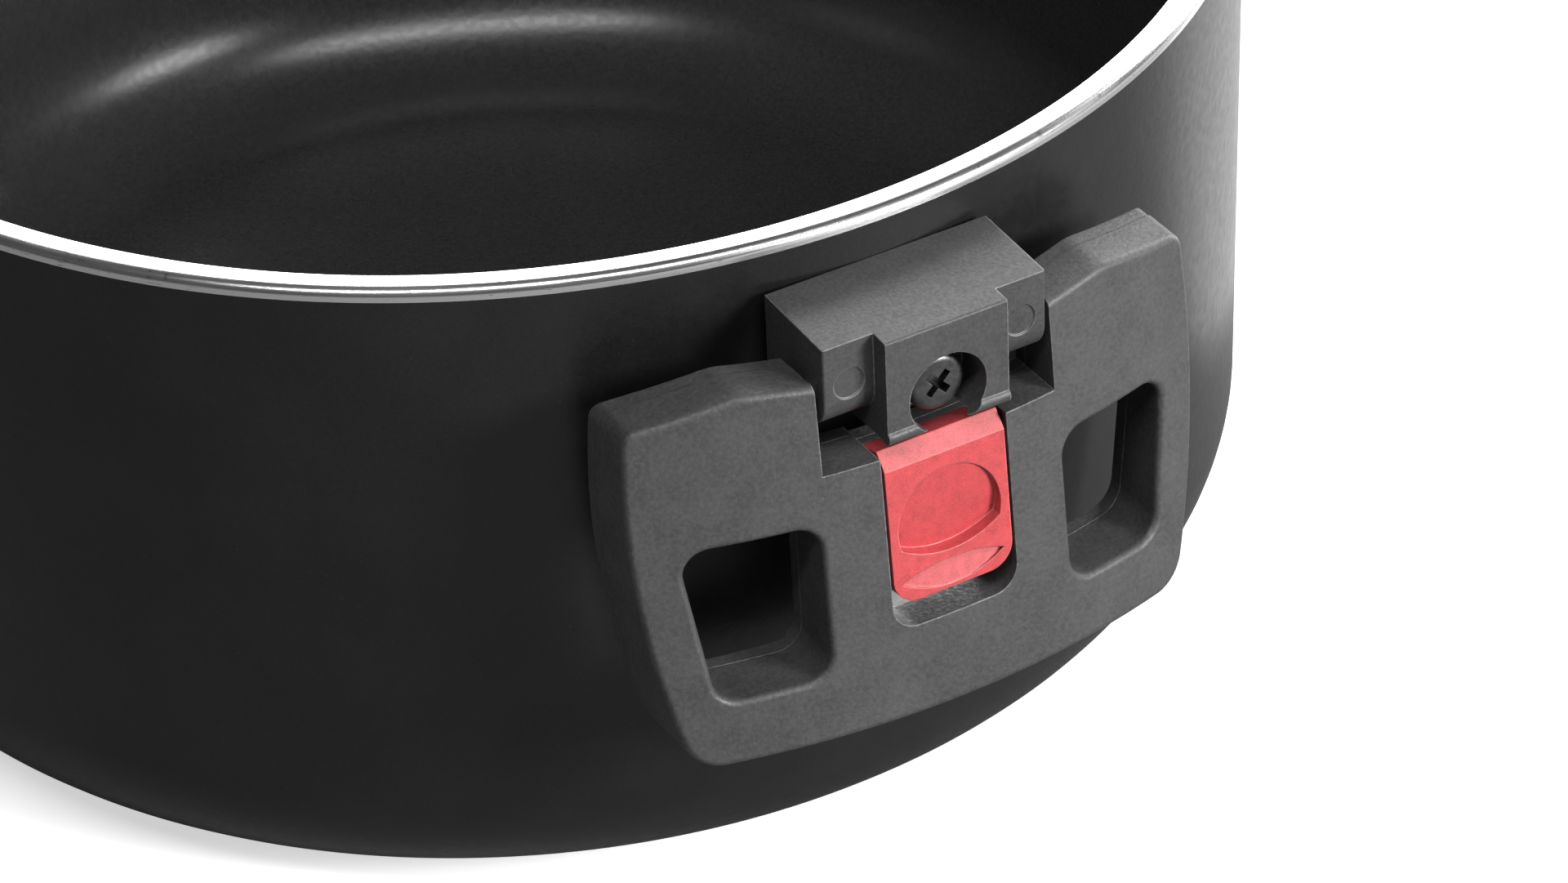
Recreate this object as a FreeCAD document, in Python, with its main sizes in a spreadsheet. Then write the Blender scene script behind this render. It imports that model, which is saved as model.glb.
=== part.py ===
import FreeCAD, Part
import math
import os

import Sketcher
from FreeCAD import Placement, Rotation, Vector

# Cooking pot of a slow cooker: a heavy aluminium pot with two fold-out side handles.
# Origin at the centre of the underside, +Z up, the front handle at -Y and the rear one at +Y.
# Lengths are millimetres, angles are degrees.
#
# Two kinds of local frame are used. Pieces of a side are drawn for the front one and turned
# about Z for the rear one. What lies along the leaning face of the handle is drawn in the
# "track" frame: its origin is on the face at the hinge's height, -Y points out of the face
# and +Z runs up along it. A "drop" is a distance down the track from that origin.

SIZES = {
    "pot": {
        "rim_radius": 120, "pot_height": 114, "wall_thickness": 4.1, "wall_batter": 1.4,
        "foot_lift": 0.5, "outer_round": 23.6, "floor_height": 14, "inner_round": 24,
        "rim_round": 1.45, "disc_radius": 88, "disc_thickness": 3, "disc_gap": 0.1,
        "disc_round": 0.8,
    },
    "hinge": {
        "hinge_out": 10.3, "hinge_below": 17.5, "pin_radius": 1.5, "pin_start": 11.5,
        "pin_end": 29.5, "pin_fit": 0.01, "running_fit": 0.05, "pin_end_gap": 0.5,
    },
    "bracket": {
        "ear_width": 36.6, "bracket_rise": 10, "top_fall": 1.2, "knuckle_radius": 5.1,
        "block_width": 20.1, "block_out": 18.6, "block_drop": 7.9, "bead_radius": 1.1,
        "bead_proud": 0.5, "bead_rise": 0.7, "seat_gap": 0.03, "mark_radius": 2.5,
        "mark_offset": 14.1, "mark_rise": 2.2, "mark_depth": 0.3, "bracket_round": 0.35,
    },
    "bracket screw": {
        "screw_below": 2.9, "bore_radius": 6.35, "head_radius": 4.6, "head_sink": 2.7,
        "head_thickness": 2.8, "head_round": 1.2, "washer_radius": 4.9, "washer_thickness": 0.9,
        "thread_radius": 2.5, "thread_fit": 0.02, "thread_out": 0.8, "web_thickness": 2.2,
        "stud_radius": 5, "stud_gap": 0.1, "recess_half": 2.3, "recess_arm": 0.6,
        "recess_depth": 1.7,
    },
    "handle plate": {
        "face_out": 16.3, "lean": 5.2, "back_out": 7, "back_lean": 1,
        "cover_thickness": 2.5, "plate_rise": 4.2, "peak_half": 29.45, "lip_rise": 2.9,
        "corner_half": 46.2, "corner_rise": 1.1, "low_half": 41.2, "plate_below": 54.9,
        "side_arc": 144, "notch_gap": 1, "notch_below": 11.4, "stem_below": 12.4, "low_round": 6,
        "shoulder_round": 2.5, "peak_round": 8, "edge_round": 1.2, "cover_inset": 0.12,
    },
    "finger window": {
        "window_in": 20.5, "window_out": 39.6, "window_low_out": 36.6, "window_below": 19.7,
        "window_tall": 24.3, "window_draft": 4, "window_round": 4, "window_edge": 1,
    },
    "release slide": {
        "slide_width": 19.9, "slide_sink": 0.4, "slide_thickness": 6, "ridge_drop": 11.1,
        "shoulder_drop": 11.8, "ridge_depth": 2.3, "bevel_drop": 13.8, "slide_drop": 36,
        "slide_round": 4, "slide_travel": 3.5, "track_gap": 0.5, "flange_extra": 3.8,
        "flange_thickness": 1.4, "flange_top": 15.5, "flange_above": 4.9, "flange_gap": 0.1,
        "slot_width": 3.4, "slot_drop": 20.5, "slot_depth": 3.4,
    },
    "thumb scoop": {
        "scoop_half": 8.2, "scoop_top": 16.2, "scoop_side": 27.3, "scoop_low": 29.8,
        "scoop_angle": 9, "scoop_lip": 0.4, "groove_half": 8.6, "groove_top": 31.2,
        "groove_side": 32.8, "groove_low": 35.4, "groove_angle": 15,
    },
    "steel plate and spring": {
        "steel_extra": 3, "steel_thickness": 1, "steel_top": 14.5, "steel_beyond": 5.6,
        "steel_gap": 0.1, "tab_width": 2.4, "tab_drop": 31.5, "tab_thickness": 1,
        "tab_height": 2.9, "coil_radius": 1.1, "wire_radius": 0.22, "coil_turns": 8,
        "coil_gap": 0.1, "boss_height": 4, "boss_gap": 0.5,
    },
    "cover screws": {
        "cover_screw_half": 30.5, "cover_screws_below": 10, "cover_screws_above": 5.6,
        "cover_head_radius": 2.3, "cover_head_thickness": 1.2, "cover_head_sink": 0.3,
        "cover_head_fit": 0.1, "cover_shank_radius": 1.1, "cover_shank_length": 5.5,
        "cover_tip_gap": 1.2, "cover_fit": 0.02,
    },
}

# Reaches from the pot's axis, heights over its underside and sizes on the handle that are
# counted from another one, so that a piece stays where it fits when that one changes.
PLACES = {
    "foot_radius": ("rim_radius", "-", "wall_batter"),
    "hinge_reach": ("rim_radius", "+", "hinge_out"),
    "block_reach": ("rim_radius", "+", "block_out"),
    "face_reach": ("rim_radius", "+", "face_out"),
    "back_reach": ("rim_radius", "+", "back_out"),
    "thread_end": ("rim_radius", "+", "thread_out"),
    "hinge_height": ("pot_height", "-", "hinge_below"),
    "bracket_top": ("hinge_height", "+", "bracket_rise"),
    "screw_height": ("hinge_height", "-", "screw_below"),
    "plate_top": ("hinge_height", "+", "plate_rise"),
    "notch_lip": ("hinge_height", "+", "lip_rise"),
    "corner_height": ("hinge_height", "+", "corner_rise"),
    "plate_bottom": ("hinge_height", "-", "plate_below"),
    "notch_floor": ("hinge_height", "-", "notch_below"),
    "stem_floor": ("hinge_height", "-", "stem_below"),
    "window_top": ("hinge_height", "-", "window_below"),
    "window_bottom": ("window_top", "-", "window_tall"),
    "cover_screw_high": ("hinge_height", "-", "cover_screws_below"),
    "cover_screw_low": ("plate_bottom", "+", "cover_screws_above"),
    "flange_width": ("slide_width", "+", "flange_extra"),
    "flange_bottom": ("slide_drop", "-", "flange_above"),
    "steel_width": ("flange_width", "+", "steel_extra"),
    "steel_bottom": ("slide_drop", "+", "steel_beyond"),
}

CUT = 40.0                        # how far a cut runs on past the piece it cuts
CLOSE = 0.01                      # how near a place counts as met, when edges are picked
AROUND = 3.0                      # how far round a window its own edges are looked for
SIDES = {"front": 0.0, "rear": 180.0}


class Length:
    """A value together with the sheet formula that gives it."""

    def __init__(self, value, text):
        self.value = value
        self.text = text

    def __add__(self, other):
        other = as_length(other)
        return Length(self.value + other.value, f"({self.text} + {other.text})")

    def __sub__(self, other):
        other = as_length(other)
        return Length(self.value - other.value, f"({self.text} - {other.text})")

    def __mul__(self, other):
        other = as_length(other)
        return Length(self.value * other.value, f"({self.text} * {other.text})")

    def __truediv__(self, other):
        other = as_length(other)
        return Length(self.value / other.value, f"({self.text} / {other.text})")

    def __neg__(self):
        return Length(-self.value, f"(-{self.text})")


def as_length(item):
    """Take a plain number as a length of its own."""
    return item if isinstance(item, Length) else Length(float(item), repr(float(item)))


def tangent(angle):
    """Tangent of an angle in degrees."""
    return Length(math.tan(math.radians(angle.value)), f"tan({angle.text} * 1 deg)")


class SizeTable:
    """The sheet of driving sizes; table.rim_radius is that cell as a Length."""

    def __init__(self, doc):
        self.sheet = doc.addObject("Spreadsheet::Sheet", "Sizes")
        row = 0
        for group, cells in SIZES.items():
            row += 1
            self.sheet.set(f"A{row}", group)
            for alias, value in cells.items():
                row += 1
                self.sheet.set(f"A{row}", alias)
                self.sheet.set(f"B{row}", str(value))
                self.sheet.setAlias(f"B{row}", alias)
        doc.recompute()

    def __getattr__(self, alias):
        if alias in PLACES:
            start, sign, step = PLACES[alias]
            start, step = getattr(self, start), getattr(self, step)
            return start + step if sign == "+" else start - step
        return Length(float(self.sheet.get(alias)), f"Sizes.{alias}")


doc = FreeCAD.newDocument("pot")
size = SizeTable(doc)


# ---------------------------------------------------------------- drawing helpers

def bind(item, prop, length):
    """Tie a property of a feature to the sheet formula of a length."""
    item.setExpression(prop, as_length(length).text)


def new_body(label, place=Placement()):
    """An empty body with its label, which names its file, at its place."""
    body = doc.addObject("PartDesign::Body", label)
    body.Label = label
    body.Placement = place
    return body


def new_sketch(body, plane, out=0, up=0, tilt=0):
    """A sketch on an origin plane, moved out along its normal and up, and tilted about X."""
    sketch = body.newObject("Sketcher::SketchObject", "outline")
    support = [item for item in body.Origin.OriginFeatures if item.Role == plane][0]
    sketch.AttachmentSupport = [(support, "")]
    sketch.MapMode = "FlatFace"
    out, up, tilt = as_length(out), as_length(up), as_length(tilt)
    turn = Rotation(Vector(1, 0, 0), tilt.value or 1.0)
    sketch.AttachmentOffset = Placement(Vector(0, up.value, out.value), turn)
    bind(sketch, "AttachmentOffset.Base.y", up)
    bind(sketch, "AttachmentOffset.Base.z", out)
    bind(sketch, "AttachmentOffset.Rotation.Angle", tilt)
    return sketch


def pin_point(sketch, item, end, across, along):
    """Hold one point of a sketch at a place given by two lengths from its origin."""
    for kind, axis, length in (("DistanceX", -2, across), ("DistanceY", -1, along)):
        if length.value == 0:
            sketch.addConstraint(Sketcher.Constraint("PointOnObject", item, end, axis))
            continue
        number = sketch.addConstraint(Sketcher.Constraint(kind, -1, 1, item, end, length.value))
        bind(sketch, f"Constraints[{number}]", length)


def arc_between(first, last, radius):
    """The arc that runs anticlockwise from first to last and bulges away from the outline."""
    chord = last - first
    middle = (first + last) * 0.5
    rise = math.sqrt(max(radius ** 2 - (chord.Length / 2) ** 2, 0.0))
    inward = Vector(-chord.y, chord.x, 0).normalize()
    centre = middle + inward * rise
    start = math.atan2(first.y - centre.y, first.x - centre.x)
    stop = math.atan2(last.y - centre.y, last.x - centre.x)
    return Part.ArcOfCircle(Part.Circle(centre, Vector(0, 0, 1), radius), start, stop)


def outline(sketch, corners, arcs=None):
    """A closed anticlockwise wire; arcs maps a corner's index to the radius of what leaves it."""
    arcs = arcs or {}
    corners = [(as_length(across), as_length(along)) for across, along in corners]
    spots = [Vector(across.value, along.value, 0) for across, along in corners]
    items = []
    for index, spot in enumerate(spots):
        following = spots[(index + 1) % len(spots)]
        if index in arcs:
            shape = arc_between(spot, following, arcs[index].value)
        else:
            shape = Part.LineSegment(spot, following)
        items.append(sketch.addGeometry(shape))
    for index, item in enumerate(items):
        following = items[(index + 1) % len(items)]
        sketch.addConstraint(Sketcher.Constraint("Coincident", item, 2, following, 1))
        pin_point(sketch, item, 1, *corners[index])
        if index in arcs:
            number = sketch.addConstraint(Sketcher.Constraint("Radius", item, arcs[index].value))
            bind(sketch, f"Constraints[{number}]", arcs[index])


def rectangle(sketch, left, right, low, high):
    """A closed rectangle in a sketch."""
    outline(sketch, [(left, low), (right, low), (right, high), (left, high)])


def circle(sketch, across, along, radius):
    """A circle in a sketch."""
    across, along, radius = as_length(across), as_length(along), as_length(radius)
    centre = Vector(across.value, along.value, 0)
    item = sketch.addGeometry(Part.Circle(centre, Vector(0, 0, 1), radius.value))
    pin_point(sketch, item, 3, across, along)
    number = sketch.addConstraint(Sketcher.Constraint("Radius", item, radius.value))
    bind(sketch, f"Constraints[{number}]", radius)


def extrude(body, kind, sketch, length, reverse=False, both=False, taper=None):
    """Pad or pocket a sketch straight along its normal."""
    feature = body.newObject(f"PartDesign::{kind}", kind.lower())
    feature.Profile = sketch
    bind(feature, "Length", length)
    if both:
        feature.SideType = "Symmetric"
    feature.Reversed = reverse
    if taper is not None:
        bind(feature, "TaperAngle", taper)
    doc.recompute()
    return feature


def pad(body, sketch, length, **options):
    return extrude(body, "Pad", sketch, length, **options)


def pocket(body, sketch, length, **options):
    return extrude(body, "Pocket", sketch, length, **options)


def spin(body, kind, sketch, angle=360, axis="V_Axis", reverse=False):
    """Revolve a sketch about one of its axes, to add (Revolution) or to cut (Groove)."""
    feature = body.newObject(f"PartDesign::{kind}", kind.lower())
    feature.Profile = sketch
    feature.ReferenceAxis = (sketch, [axis])
    feature.Reversed = reverse
    bind(feature, "Angle", angle)
    doc.recompute()
    return feature


def dress(body, kind, prop, length, wanted):
    """Round (Fillet) or bevel (Chamfer) the body's edges that the wanted test picks."""
    base = body.Tip
    names = [f"Edge{number}" for number, edge in enumerate(base.Shape.Edges, 1) if wanted(edge)]
    feature = body.newObject(f"PartDesign::{kind}", kind.lower())
    feature.Base = (base, names)
    bind(feature, prop, length)
    doc.recompute()
    return feature


def fillet(body, length, wanted):
    return dress(body, "Fillet", "Radius", length, wanted)


def samples(edge):
    """Places along an edge, its two ends among them."""
    first, last = edge.ParameterRange
    return [edge.valueAt(first + (last - first) * share) for share in (0.0, 0.3, 0.6, 1.0)]


def ring_at(radius, height):
    """Test for the circular edges about Z with this radius and height."""
    def wanted(edge):
        return all(abs(math.hypot(spot.x, spot.y) - radius.value) < CLOSE
                   and abs(spot.z - height.value) < CLOSE for spot in samples(edge))
    return wanted


def along_y(edge):
    """Whether an edge runs from front to back."""
    first, last = samples(edge)[0], samples(edge)[-1]
    return abs(first.y - last.y) > 0.9 * (first - last).Length


def side_place(turn):
    """Where the pieces of a side lie: the rear ones are turned about Z."""
    return Placement(Vector(), Rotation(Vector(0, 0, 1), turn))


def track_place(turn):
    """Where the track frame of a side's handle lies."""
    origin = Vector(0, -size.face_reach.value, size.hinge_height.value)
    return side_place(turn) * Placement(origin, Rotation(Vector(1, 0, 0), -size.lean.value))


def track_sketch(body, depth):
    """A sketch along the handle's face, this deep under it, in a body that isn't in the track."""
    depth = as_length(depth)
    slope = tangent(size.lean)
    level = Length(math.cos(math.radians(size.lean.value)), "cos(Sizes.lean * 1 deg)")
    out = size.face_reach - depth * level
    up = size.hinge_height - depth * level * slope
    return new_sketch(body, "XZ_Plane", out=out, up=up, tilt=-size.lean)


# ---------------------------------------------------------------- shared surfaces

def wall_reach(height):
    """Radius of the pot's outer wall, a slight cone, at a height."""
    low = size.foot_lift
    high = size.pot_height - size.rim_round
    share = (as_length(height) - low) / (high - low)
    return size.foot_radius + (size.rim_radius - size.foot_radius) * share


def face_reach_at(height):
    """Reach of the leaning front face of the handle at a height."""
    return size.face_reach + (size.hinge_height - height) * tangent(size.lean)


def back_reach_at(height):
    """Reach of the back of the handle at a height."""
    return size.back_reach + (size.hinge_height - height) * tangent(size.back_lean)


def split_reach_at(height):
    """Reach of the joint between the handle and its rear cover at a height."""
    return back_reach_at(height) + size.cover_thickness


def cut_inside(body, reach_at, low, high):
    """Take away everything nearer to the pot's axis than a cone."""
    sketch = new_sketch(body, "YZ_Plane")
    outline(sketch, [(0, low), (0, high), (-reach_at(high), high), (-reach_at(low), low)])
    spin(body, "Groove", sketch)


def cut_outside(body, reach_at, low, high):
    """Take away everything farther from the pot's axis than a cone."""
    sketch = new_sketch(body, "YZ_Plane")
    edge = [(-reach_at(low), low), (-reach_at(high), high)]
    outline(sketch, edge + [(-reach_at(high) - CUT, high), (-reach_at(low) - CUT, low)])
    spin(body, "Groove", sketch)


# ---------------------------------------------------------------- pot

def make_pot_shell():
    """The pot: a turned cup with round corners and a recess below for the base disc."""
    body = new_body("pot_shell")
    rim_inner = size.rim_radius - size.wall_thickness
    floor_edge = wall_reach(size.floor_height) - size.wall_thickness
    low, high = size.foot_lift, size.pot_height
    sketch = new_sketch(body, "XZ_Plane")
    outline(sketch, [
        (0, low), (size.foot_radius, low), (size.rim_radius, high - size.rim_round),
        (size.rim_radius, high), (rim_inner, high), (floor_edge, size.floor_height),
        (0, size.floor_height),
    ])
    spin(body, "Revolution", sketch)
    disc_seat = size.disc_radius + size.disc_gap
    recess = new_sketch(body, "XY_Plane", out=0)
    circle(recess, 0, 0, disc_seat)
    pocket(body, recess, size.disc_thickness, reverse=True)
    fillet(body, size.outer_round, ring_at(size.foot_radius, low))
    fillet(body, size.inner_round, ring_at(floor_edge, size.floor_height))
    fillet(body, size.rim_round, ring_at(size.rim_radius, high))
    return body


def make_base_disc():
    """Steel disc set into the underside, on which the pot stands."""
    body = new_body("base_disc")
    sketch = new_sketch(body, "XY_Plane")
    circle(sketch, 0, 0, size.disc_radius)
    pad(body, sketch, size.disc_thickness)
    fillet(body, size.disc_round, ring_at(size.disc_radius, as_length(0)))
    return body


# ---------------------------------------------------------------- bracket and its fasteners

def block_bottom():
    """Height of the underside of the bracket's middle block."""
    return size.hinge_height - size.block_drop


def inside_wall():
    """A reach that lies inside the pot's wall, from which the stud is drawn."""
    return size.rim_radius - size.bore_radius


def bracket_seat():
    """Reach of the bracket's flat back, which meets the wall along its middle."""
    return size.rim_radius + size.seat_gap


def top_at(reach):
    """Height of the bracket's sloping top at a reach from the pot's axis."""
    span = size.block_reach - size.rim_radius
    return size.bracket_top - size.top_fall * (as_length(reach) - size.rim_radius) / span


def add_ears(body):
    """The full-width part of the bracket, with its round front over the hinge pins."""
    front = size.hinge_reach + size.knuckle_radius
    low = size.hinge_height - size.knuckle_radius
    sketch = new_sketch(body, "YZ_Plane")
    outline(sketch, [
        (-bracket_seat(), top_at(bracket_seat())), (-front, top_at(front)),
        (-front, size.hinge_height), (-size.hinge_reach, low), (-bracket_seat(), low),
    ], arcs={2: size.knuckle_radius})
    pad(body, sketch, size.ear_width, both=True)


def add_block(body):
    """The narrower block in the middle, with the bead that the catch hooks under."""
    front = size.block_reach
    sketch = new_sketch(body, "YZ_Plane")
    outline(sketch, [
        (-bracket_seat(), top_at(bracket_seat())), (-front, top_at(front)),
        (-front, block_bottom()), (-bracket_seat(), block_bottom()),
    ])
    pad(body, sketch, size.block_width, both=True)
    bead = new_sketch(body, "YZ_Plane")
    bead_reach = size.block_reach + size.bead_proud - size.bead_radius
    circle(bead, -bead_reach, block_bottom() + size.bead_rise, size.bead_radius)
    pad(body, bead, size.block_width, both=True)


def head_face():
    """Reach of the front of the bracket screw's head."""
    return size.block_reach - size.head_sink


def washer_seat():
    """Reach of the bottom of the counterbore, where the washer lies."""
    return head_face() - size.head_thickness - size.washer_thickness


def bore_bracket(body):
    """The screw's counterbore and hole, and the hollow that takes the welded stud."""
    front = size.block_reach + CUT
    counterbore = new_sketch(body, "XZ_Plane", out=front)
    circle(counterbore, 0, size.screw_height, size.bore_radius)
    pocket(body, counterbore, front - washer_seat())
    hole = new_sketch(body, "XZ_Plane", out=front)
    circle(hole, 0, size.screw_height, size.thread_radius + size.stud_gap)
    pocket(body, hole, CUT * 2)
    hollow = new_sketch(body, "XZ_Plane", out=washer_seat() - size.web_thickness)
    circle(hollow, 0, size.screw_height, size.stud_radius + size.stud_gap)
    pocket(body, hollow, CUT)


def bore_ears(body):
    """Blind holes for the two hinge pins, one in each ear."""
    for reverse in (False, True):
        start = -size.pin_start if reverse else size.pin_start
        sketch = new_sketch(body, "YZ_Plane", out=start)
        circle(sketch, -size.hinge_reach, size.hinge_height, size.pin_radius + size.pin_fit)
        pocket(body, sketch, CUT, reverse=not reverse)


def mark_ears(body):
    """Two shallow round marks on the fronts of the ears."""
    front = size.hinge_reach + size.knuckle_radius
    sketch = new_sketch(body, "XZ_Plane", out=front)
    height = size.hinge_height + size.mark_rise
    circle(sketch, size.mark_offset, height, size.mark_radius)
    circle(sketch, -size.mark_offset, height, size.mark_radius)
    pocket(body, sketch, size.mark_depth)


def bracket_edges(edge):
    """The outer edges of the bracket's front and top that the hand meets."""
    spots = samples(edge)
    half = size.ear_width.value / 2
    reach = size.block_reach.value
    at_end = all(abs(abs(spot.x) - half) < CLOSE for spot in spots)
    at_face = all(abs(-spot.y - reach) < CLOSE for spot in spots)
    near_bore = any(math.hypot(spot.x, spot.z - size.screw_height.value)
                    < size.bore_radius.value + 0.1 for spot in spots)
    high = all(spot.z > block_bottom().value + size.bead_radius.value * 2 for spot in spots)
    free = all(-spot.y > size.rim_radius.value + 0.5 for spot in spots)
    return (at_end and high and free) or (at_face and high and not near_bore)


def make_bracket(side, turn):
    """Bracket on the wall: two ears with the hinge pins and a block for the screw."""
    body = new_body(f"{side}_bracket", side_place(turn))
    add_ears(body)
    add_block(body)
    bore_bracket(body)
    bore_ears(body)
    mark_ears(body)
    fillet(body, size.bracket_round, bracket_edges)
    return body


def make_stud(side, turn):
    """Threaded stud welded to the pot's wall, which the bracket is screwed to."""
    body = new_body(f"{side}_weld_stud", side_place(turn))
    tip = washer_seat() - size.web_thickness - size.stud_gap
    sketch = new_sketch(body, "XZ_Plane", out=tip)
    circle(sketch, 0, size.screw_height, size.stud_radius)
    circle(sketch, 0, size.screw_height, size.thread_radius + size.thread_fit)
    pad(body, sketch, tip - inside_wall(), reverse=True)
    low = size.screw_height - size.stud_radius * 2
    cut_inside(body, wall_reach, low, size.pot_height)
    return body


def make_bracket_screw(side, turn):
    """Pan-head screw with a cross recess that holds the bracket."""
    body = new_body(f"{side}_bracket_screw", side_place(turn))
    head = new_sketch(body, "XZ_Plane", out=head_face())
    circle(head, 0, size.screw_height, size.head_radius)
    pad(body, head, size.head_thickness, reverse=True)

    def head_rim(edge):
        return all(abs(-spot.y - head_face().value) < CLOSE for spot in samples(edge))

    fillet(body, size.head_round, head_rim)
    shank = new_sketch(body, "XZ_Plane", out=size.thread_end)
    circle(shank, 0, size.screw_height, size.thread_radius)
    pad(body, shank, head_face() - size.head_round - size.thread_end)
    for half, arm in ((size.recess_half, size.recess_arm), (size.recess_arm, size.recess_half)):
        slot = new_sketch(body, "XZ_Plane", out=head_face())
        rectangle(slot, -half, half, size.screw_height - arm, size.screw_height + arm)
        pocket(body, slot, size.recess_depth)
    return body


def make_washer(side, turn):
    """Lock washer under the bracket screw."""
    body = new_body(f"{side}_lock_washer", side_place(turn))
    sketch = new_sketch(body, "XZ_Plane", out=washer_seat())
    circle(sketch, 0, size.screw_height, size.washer_radius)
    circle(sketch, 0, size.screw_height, size.thread_radius + size.stud_gap)
    pad(body, sketch, size.washer_thickness)
    return body


def make_pin(side, turn, hand, name):
    """Steel pin pressed in an ear and running in the handle; hand is -1 left or 1 right."""
    body = new_body(f"{side}_hinge_pin_{name}", side_place(turn))
    start = size.pin_start * hand
    sketch = new_sketch(body, "YZ_Plane", out=start)
    circle(sketch, -size.hinge_reach, size.hinge_height, size.pin_radius)
    pad(body, sketch, size.pin_end - size.pin_start, reverse=hand < 0)
    return body


# ---------------------------------------------------------------- handle plate

def notch_half():
    """Half the width of the notch round the bracket."""
    return size.ear_width / 2 + size.notch_gap


def track_half():
    """Half the width of the track that the slide runs in."""
    return size.slide_width / 2 + size.track_gap


def plate_outline(sketch, inset):
    """The handle's outline seen from in front, with the notch that the bracket sits in."""
    half_side = [
        (size.low_half - inset, size.plate_bottom + inset),
        (size.corner_half - inset, size.corner_height - inset),
        (size.peak_half, size.plate_top - inset),
        (notch_half(), size.notch_lip - inset),
        (notch_half(), size.notch_floor), (track_half(), size.notch_floor),
        (track_half(), size.stem_floor),
    ]
    other_side = [(-across, along) for across, along in reversed(half_side)]
    last = len(half_side) + len(other_side) - 2
    outline(sketch, half_side + other_side, arcs={0: size.side_arc, last: size.side_arc})


def cut_windows(body):
    """The two finger windows, drawn just in front of the face and narrowing to the back."""
    front = face_reach_at(size.plate_bottom)
    for hand in (1, -1):
        sketch = new_sketch(body, "XZ_Plane", out=front)
        corners = [
            (size.window_in * hand, size.window_bottom),
            (size.window_low_out * hand, size.window_bottom),
            (size.window_out * hand, size.window_top),
            (size.window_in * hand, size.window_top),
        ]
        outline(sketch, corners if hand > 0 else corners[::-1])
        pocket(body, sketch, CUT, taper=size.window_draft)


def in_window(spot):
    """Whether a place is at a finger window."""
    near, far = size.window_in.value - AROUND, size.window_out.value + AROUND
    low, high = size.window_bottom.value - AROUND, size.window_top.value + AROUND
    return near < abs(spot.x) < far and low < spot.z < high


def window_corner(edge):
    """The corners of the windows, from front to back."""
    return along_y(edge) and all(in_window(spot) for spot in samples(edge))


def outline_corner(half, height):
    """Test for the edges, front to back, at this corner of the outline and its mirror image."""
    def wanted(edge):
        return along_y(edge) and all(abs(abs(spot.x) - as_length(half).value) < CLOSE
                                     and abs(spot.z - as_length(height).value) < CLOSE
                                     for spot in samples(edge))
    return wanted


def on_face(edge):
    """Whether an edge lies on the front face of the handle."""
    return all(abs(math.hypot(spot.x, spot.y) - face_reach_at(as_length(spot.z)).value) < CLOSE * 2
               for spot in samples(edge))


def window_rim(edge):
    """The edges of the windows on the front face."""
    return on_face(edge) and all(in_window(spot) for spot in samples(edge))


def outer_rim(edge):
    """Edges of the front face, apart from the windows, the notch and the track."""
    if not on_face(edge):
        return False
    spots = samples(edge)
    clear_of_notch = all(abs(spot.x) > notch_half().value - 0.1 for spot in spots)
    at_bottom = all(spot.z < size.plate_bottom.value + size.low_round.value for spot in spots)
    beside_notch = all(abs(abs(spot.x) - notch_half().value) < CLOSE for spot in spots)
    free = not any(in_window(spot) and abs(spot.x) < size.corner_half.value - AROUND
                   for spot in spots)
    return at_bottom or (clear_of_notch and not beside_notch and free)


def start_plate(body, inset):
    """A block with the handle's outline, notch and windows, still flat in front and behind."""
    near = size.back_reach - CUT / 2
    sketch = new_sketch(body, "XZ_Plane", out=near)
    inset = as_length(inset)
    plate_outline(sketch, inset)
    pad(body, sketch, CUT)
    low, top = size.plate_bottom + inset, size.plate_top - inset
    shoulder = size.corner_height - inset
    fillet(body, size.low_round, outline_corner(size.low_half - inset, low))
    fillet(body, size.shoulder_round, outline_corner(size.corner_half - inset, shoulder))
    fillet(body, size.peak_round, outline_corner(size.peak_half, top))
    cut_windows(body)
    fillet(body, size.window_round, window_corner)


def screw_spots():
    """Where the four cover screws are, across and up."""
    high, low = size.cover_screw_high, size.cover_screw_low
    half = size.cover_screw_half
    return [(half, high), (-half, high), (half, low), (-half, low)]


def cover_back_at_screws():
    """Reach of the cover's back, along -Y, where the cover screws go in."""
    reach = size.back_reach.value
    half = size.cover_screw_half.value
    flat = math.sqrt(reach ** 2 - half ** 2)
    return Length(flat, f"sqrt({size.back_reach.text} ^ 2 - Sizes.cover_screw_half ^ 2)")


def cover_head_seat():
    """Reach of the faces that the cover screws' heads press on."""
    return cover_back_at_screws() + size.cover_head_sink + size.cover_head_thickness


def track_depth():
    """Depth of the steel plate's front under the face."""
    return size.slide_sink + size.slide_thickness + size.flange_gap


def track_bottom():
    """Drop of the lower end of the track."""
    return size.slide_drop + size.slide_travel + size.track_gap


def cut_track(body):
    """The open track that the release slide runs in, with its undercut for the flanges."""
    sketch = track_sketch(body, -CUT / 2)
    rectangle(sketch, -track_half(), track_half(), -track_bottom(), 0)
    pocket(body, sketch, track_depth() + CUT / 2)

    def track_corner(edge):
        spots = samples(edge)
        beside = all(abs(abs(spot.x) - track_half().value) < CLOSE for spot in spots)
        low = size.hinge_height.value - track_bottom().value
        return along_y(edge) and beside and all(spot.z < low + size.slide_round.value for spot in spots)

    fillet(body, size.slide_round, track_corner)
    flange_front = track_depth() - size.flange_gap * 2 - size.flange_thickness
    undercut = track_sketch(body, flange_front)
    half = size.flange_width / 2 + size.track_gap
    low = size.flange_bottom + size.slide_travel + size.track_gap
    rectangle(undercut, -half, half, -low, size.flange_gap - size.flange_top)
    pocket(body, undercut, track_depth() - flange_front)


def cut_steel_seat(body):
    """The seat of the steel plate, open to the back."""
    sketch = track_sketch(body, track_depth())
    half = size.steel_width / 2 + size.steel_gap
    low = size.steel_bottom + size.steel_gap
    rectangle(sketch, -half, half, -low, size.steel_gap - size.steel_top)
    pocket(body, sketch, CUT / 2)


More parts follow.
